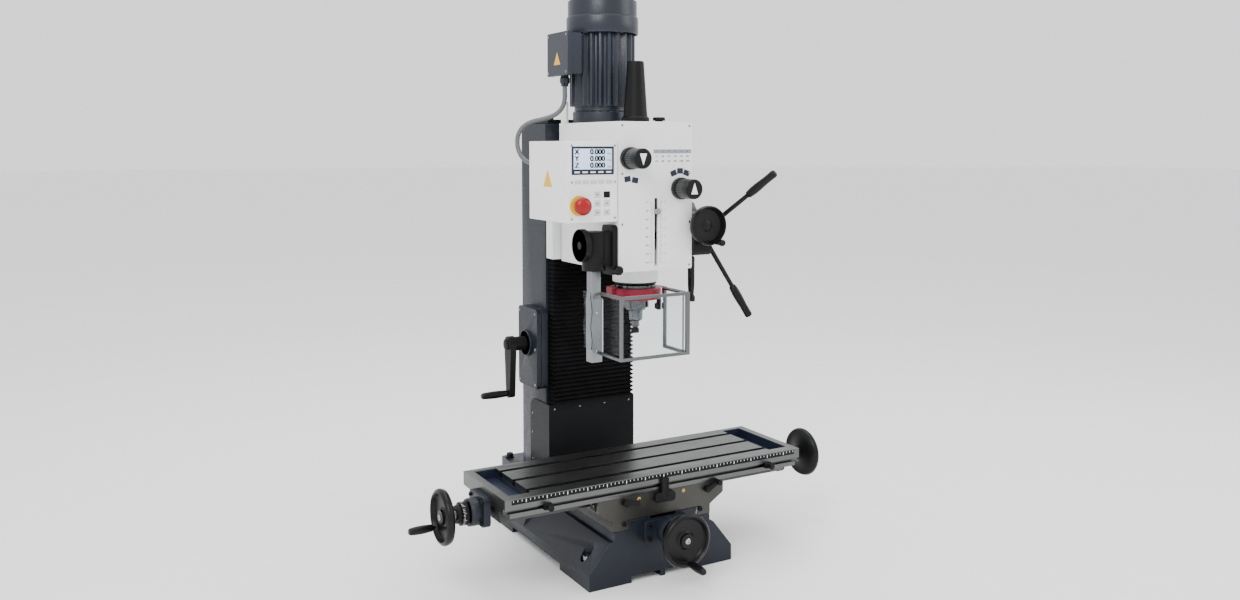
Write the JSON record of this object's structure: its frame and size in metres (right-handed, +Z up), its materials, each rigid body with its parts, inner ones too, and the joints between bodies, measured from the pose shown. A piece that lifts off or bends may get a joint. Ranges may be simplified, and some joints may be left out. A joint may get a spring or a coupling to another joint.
{
  "type": "benchtop milling machine",
  "caption": "Benchtop drill-mill: geared head with motor on a dovetail column, cross-slide table with T-slots, handwheels, quill levers, swing guard and control box.",
  "frame": {"origin": "on the floor, straight under the spindle axis, on the centre rib of the base casting", "axes": "+X along the table to the operator's right, +Y from the operator to the column, +Z up along the spindle axis"},
  "size_m": [1.1352, 0.7316, 1.368],
  "materials": {
    "slate_casting": "satin slate-blue enamel over cast iron",
    "motor_enamel": "semi-gloss slate-blue enamel over cast aluminium",
    "white_enamel": "satin off-white enamel over cast iron",
    "white_sheet": "fine-textured off-white powder coat",
    "panel_film": "satin printed membrane on sheet steel",
    "ground_iron": "ground and oiled cast iron",
    "scraped_iron": "milled and oiled cast iron",
    "steel": "ground steel",
    "bronze": "cast bronze",
    "black_iron": "black oxide and black enamel on steel",
    "black_wheel": "black moulded thermoset, satin",
    "black_grip": "black moulded plastic",
    "dial_black": "black graduated collar",
    "black_housing": "black wrinkle enamel on aluminium",
    "black_plastic": "black moulded plastic",
    "cover_sheet": "satin black painted sheet steel",
    "bellows_cloth": "black folded coated cloth",
    "cable_grey": "grey cable sheath",
    "stop_red": "red moulded plastic",
    "crimson_enamel": "crimson enamel on cast aluminium",
    "guard_aluminium": "extruded aluminium",
    "guard_clear": "clear polycarbonate"
  },
  "bodies": {
    "root": {"base_casting": "slate_casting", "y_screw_bracket": "slate_casting", "column_casting": "slate_casting", "column_cap": "black_iron", "column_cover": "cover_sheet", "way_bellows": "bellows_cloth", "z_gearbox": "slate_casting"},
    "saddle": {"saddle_casting": "scraped_iron", "saddle_gib": "steel", "cross_nut": "bronze", "table_stop_block": "black_iron"},
    "table_lock": {"table_lock_handle": "black_iron"},
    "saddle_lock": {"saddle_lock_lever": "black_iron"},
    "y_screw": {"y_leadscrew": "steel", "y_dial": "dial_black", "y_handwheel": "black_wheel"},
    "y_handle": {"y_grip": "black_grip"},
    "table": {"table_casting": "ground_iron", "left_end_bracket": "slate_casting", "right_end_bracket": "slate_casting"},
    "x_screw": {"x_leadscrew": "steel", "x_dial": "dial_black", "x_left_handwheel": "black_wheel", "x_right_handwheel": "black_wheel"},
    "x_left_handle": {"x_left_grip": "black_grip"},
    "x_right_handle": {"x_right_grip": "black_grip"},
    "crank": {"z_crank": "black_iron"},
    "crank_handle": {"z_crank_grip": "black_grip"},
    "z_screw": {"z_leadscrew": "steel"},
    "carriage": {"z_carriage": "white_enamel"},
    "head": {"head_casting": "white_enamel", "front_plate": "white_sheet", "motor_body": "motor_enamel", "motor_cowl": "motor_enamel", "terminal_box": "motor_enamel", "motor_cable": "cable_grey", "drawbar_cover": "black_plastic", "oil_cap": "black_plastic", "control_box": "white_sheet", "control_panel": "panel_film", "worm_housing": "black_housing", "guard_bracket": "black_housing"},
    "rotor": {"motor_rotor": "steel"},
    "gear_shaft": {"layshaft": "steel"},
    "sleeve": {"drive_sleeve": "steel"},
    "stop_button": {"emergency_stop_button": "stop_red"},
    "range_selector": {"range_knob": "black_plastic"},
    "speed_selector": {"speed_knob": "black_plastic"},
    "quill_body": {"quill": "steel", "quill_collar": "crimson_enamel", "depth_pointer": "steel"},
    "spindle_body": {"spindle": "steel", "collet_chuck": "steel"},
    "pilot": {"pilot_wheel": "black_iron"},
    "fine_feed": {"fine_feed_wheel": "black_wheel"},
    "fine_handle": {"fine_feed_grip": "black_grip"},
    "quill_lock": {"quill_lock_lever": "black_grip"},
    "guard": {"guard_post": "guard_aluminium", "guard_frame": "guard_aluminium", "guard_pane": "guard_clear"}
  },
  "joints": [
    {"name": "y_slide", "type": "slide", "parent": "root", "child": "saddle", "axis": [0, 1, 0], "range_m": [-0.08, 0.105]},
    {"name": "y_screw_turn", "type": "hinge", "parent": "root", "child": "y_screw", "pos_m": [0, -0.2, 0.116], "axis": [0, 1, 0], "range_deg": [-5760, 7560]},
    {"name": "y_grip_spin", "type": "hinge", "parent": "y_screw", "child": "y_handle", "pos_m": [0.0052, -0.26, 0.0643], "axis": [0, 1, 0], "continuous": true},
    {"name": "x_slide", "type": "slide", "parent": "saddle", "child": "table", "axis": [1, 0, 0], "range_m": [-0.22, 0.22]},
    {"name": "x_screw_turn", "type": "hinge", "parent": "table", "child": "x_screw", "pos_m": [0, -0.011, 0.19], "axis": [1, 0, 0], "range_deg": [-15840, 15840]},
    {"name": "x_left_grip_spin", "type": "hinge", "parent": "x_screw", "child": "x_left_handle", "pos_m": [-0.53, 0.0278, 0.1554], "axis": [1, 0, 0], "continuous": true},
    {"name": "x_right_grip_spin", "type": "hinge", "parent": "x_screw", "child": "x_right_handle", "pos_m": [0.53, 0.03996, 0.1797], "axis": [1, 0, 0], "continuous": true},
    {"name": "table_lock_turn", "type": "hinge", "parent": "saddle", "child": "table_lock", "pos_m": [-0.104, -0.14, 0.191], "axis": [0, 1, 0], "range_deg": [-90, 30]},
    {"name": "saddle_lock_turn", "type": "hinge", "parent": "saddle", "child": "saddle_lock", "pos_m": [0.121, -0.14, 0.188], "axis": [0, 1, 0], "range_deg": [-60, 40]},
    {"name": "z_slide", "type": "slide", "parent": "root", "child": "carriage", "axis": [0, 0, 1], "range_m": [-0.25, 0], "deforming": ["way_bellows"]},
    {"name": "z_crank_turn", "type": "hinge", "parent": "root", "child": "crank", "pos_m": [-0.15, 0.288, 0.495], "axis": [1, 0, 0], "range_deg": [0, 18000]},
    {"name": "z_screw_turn", "type": "hinge", "parent": "root", "child": "z_screw", "pos_m": [0, 0.288, 0.7], "axis": [0, 0, 1], "range_deg": [0, 18000]},
    {"name": "z_crank_grip_spin", "type": "hinge", "parent": "crank", "child": "crank_handle", "pos_m": [-0.245, 0.288, 0.369], "axis": [1, 0, 0], "continuous": true},
    {"name": "head_swivel", "type": "hinge", "parent": "carriage", "child": "head", "pos_m": [0, 0.2, 0.885], "axis": [0, 1, 0], "range_deg": [-60, 60]},
    {"name": "quill_slide", "type": "slide", "parent": "head", "child": "quill_body", "axis": [0, 0, -1], "range_m": [0, 0.115], "stiffness_N_per_m": 500, "springref_m": -0.35},
    {"name": "pilot_turn", "type": "hinge", "parent": "head", "child": "pilot", "pos_m": [0.1, -0.046, 0.79], "axis": [1, 0, 0], "range_deg": [-440, 0]},
    {"name": "fine_feed_turn", "type": "hinge", "parent": "head", "child": "fine_feed", "pos_m": [0.127, -0.12, 0.814], "axis": [0, 1, 0], "continuous": true},
    {"name": "fine_grip_spin", "type": "hinge", "parent": "fine_feed", "child": "fine_handle", "pos_m": [0.139, -0.15, 0.776], "axis": [0, 1, 0], "continuous": true},
    {"name": "quill_lock_turn", "type": "hinge", "parent": "head", "child": "quill_lock", "pos_m": [0.105, -0.078, 0.731], "axis": [1, 0, 0], "range_deg": [-40, 25]},
    {"name": "spindle_spin", "type": "hinge", "parent": "quill_body", "child": "spindle_body", "pos_m": [0, 0, 0.7], "axis": [0, 0, 1], "continuous": true},
    {"name": "sleeve_spin", "type": "hinge", "parent": "head", "child": "sleeve", "pos_m": [0, 0, 1], "axis": [0, 0, 1], "continuous": true},
    {"name": "layshaft_spin", "type": "hinge", "parent": "head", "child": "gear_shaft", "pos_m": [0.028, 0.0792, 1], "axis": [0, 0, 1], "continuous": true},
    {"name": "motor_spin", "type": "hinge", "parent": "head", "child": "rotor", "pos_m": [-0.018, 0.13, 1.2], "axis": [0, 0, 1], "continuous": true},
    {"name": "stop_press", "type": "slide", "parent": "head", "child": "stop_button", "axis": [0, 1, 0], "range_m": [0, 0.005], "stiffness_N_per_m": 800, "springref_m": -0.002},
    {"name": "range_select", "type": "hinge", "parent": "head", "child": "range_selector", "pos_m": [-0.072, -0.12, 0.973], "axis": [0, 1, 0], "range_deg": [0, 50]},
    {"name": "speed_select", "type": "hinge", "parent": "head", "child": "speed_selector", "pos_m": [0.065, -0.12, 0.902], "axis": [0, 1, 0], "range_deg": [-35, 35]},
    {"name": "guard_swing", "type": "hinge", "parent": "head", "child": "guard", "pos_m": [-0.146, -0.061, 0.6], "axis": [0, 0, -1], "range_deg": [0, 110]}
  ],
  "couplings": [
    {"joint": "y_screw_turn", "follows": "y_slide", "rad_per_m": 1256.6},
    {"joint": "x_screw_turn", "follows": "x_slide", "rad_per_m": 1256.6},
    {"joint": "z_crank_turn", "follows": "z_slide", "rad_per_m": -1256.6},
    {"joint": "z_screw_turn", "follows": "z_slide", "rad_per_m": -1256.6},
    {"joint": "pilot_turn", "follows": "quill_slide", "rad_per_m": -66.667},
    {"joint": "sleeve_spin", "follows": "spindle_spin", "ratio": 1},
    {"joint": "layshaft_spin", "follows": "spindle_spin", "ratio": -1.4706},
    {"joint": "motor_spin", "follows": "spindle_spin", "ratio": 3.0265}
  ]
}
